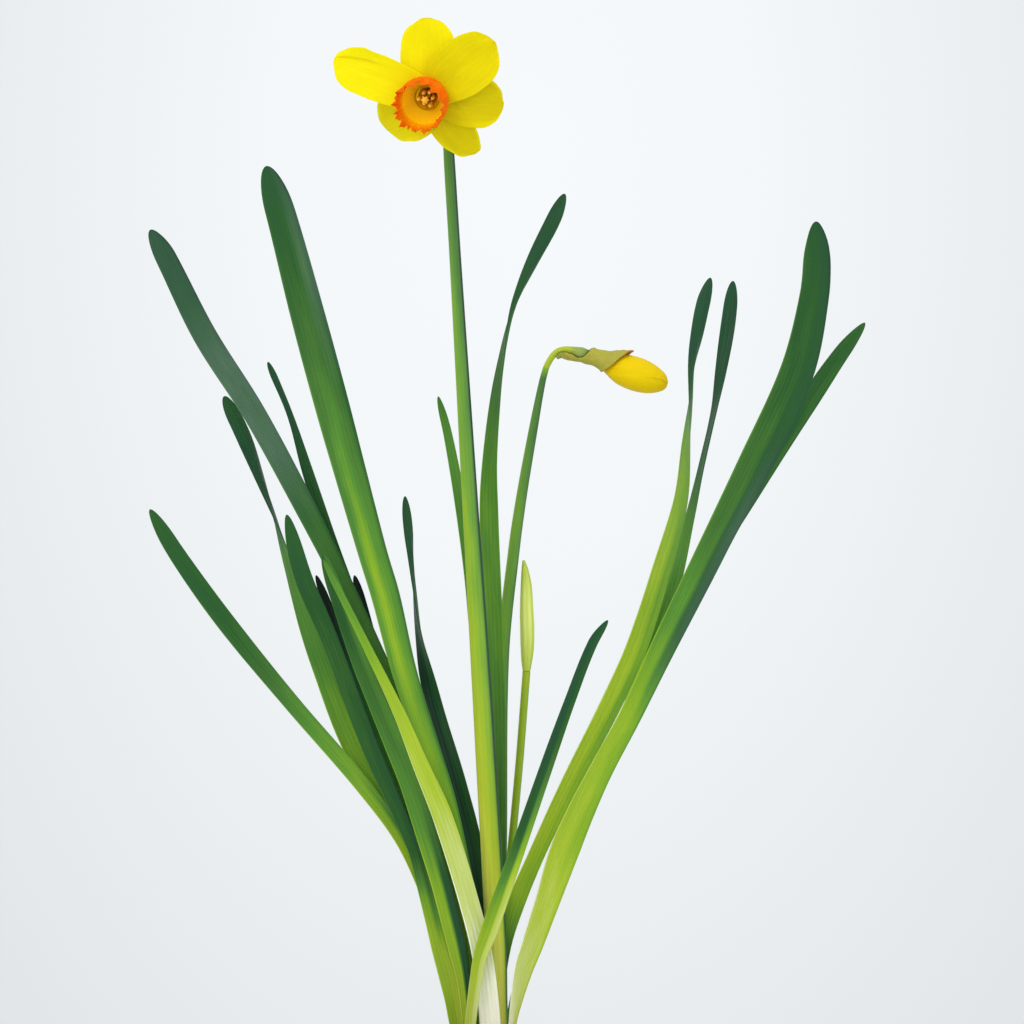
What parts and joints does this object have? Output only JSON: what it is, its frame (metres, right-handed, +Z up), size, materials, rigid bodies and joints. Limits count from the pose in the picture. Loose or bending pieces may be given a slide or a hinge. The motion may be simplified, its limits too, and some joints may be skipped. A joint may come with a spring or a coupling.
{
  "type": "potted daffodil plant",
  "caption": "Spring-flowering bulb plant in a plain clay pot: a yellow bloom with a frilled orange cup, a nodding yellow bud, a green bud and a fan of strap leaves.",
  "frame": {"origin": "middle of the pot's underside, on the surface that the pot stands on", "axes": "+Z up along the pot's axis and the stems, -Y towards the side that the open bloom faces, +X to the right of that view"},
  "size_m": [0.2724, 0.124, 0.4922],
  "materials": {
    "clay": "matt unglazed terracotta",
    "soil": "damp dark potting compost, crumbly",
    "bulb": "dry brown papery tunic",
    "leaf": "satin dark green blade with fine lengthwise veins, yellow-green low down",
    "leaf_pale": "satin pale yellow-green blade, whitish at its foot",
    "stem": "satin green stem, yellow-green low down",
    "tepal": "soft satin bright yellow petal with fine veins",
    "cup": "soft matt orange with a frilled deep orange rim",
    "stamen": "matt pollen yellow",
    "sheath": "thin dry translucent papery bract, olive and tan",
    "bud_yellow": "satin warm yellow closed petals",
    "bud_green": "satin pale green bud in its sheath"
  },
  "bodies": {
    "root": {"pot": "clay", "soil": "soil", "bulb": "bulb", "leaf_left_tall": "leaf", "leaf_left_high": "leaf", "leaf_left_low": "leaf", "leaf_left_twisted": "leaf", "leaf_left_dark": "leaf", "leaf_left_green": "leaf", "leaf_left_pale": "leaf_pale", "leaf_left_hidden": "leaf", "leaf_left_short": "leaf", "leaf_left_thin": "leaf", "leaf_middle_dark": "leaf", "leaf_middle_thin": "leaf", "leaf_middle_tall": "leaf", "leaf_front": "leaf", "leaf_right_inner": "leaf", "leaf_right_second": "leaf", "leaf_right_broad": "leaf", "leaf_right_outer": "leaf", "bloom_scape": "stem", "nodding_bud_scape": "stem", "young_bud_scape": "stem", "bloom_tepals": "tepal", "bloom_cup": "cup", "bloom_stamens": "stamen", "bloom_sheath": "sheath", "nodding_bud_petals": "bud_yellow", "nodding_bud_sheath": "sheath", "young_bud": "bud_green"}
  },
  "joints": []
}
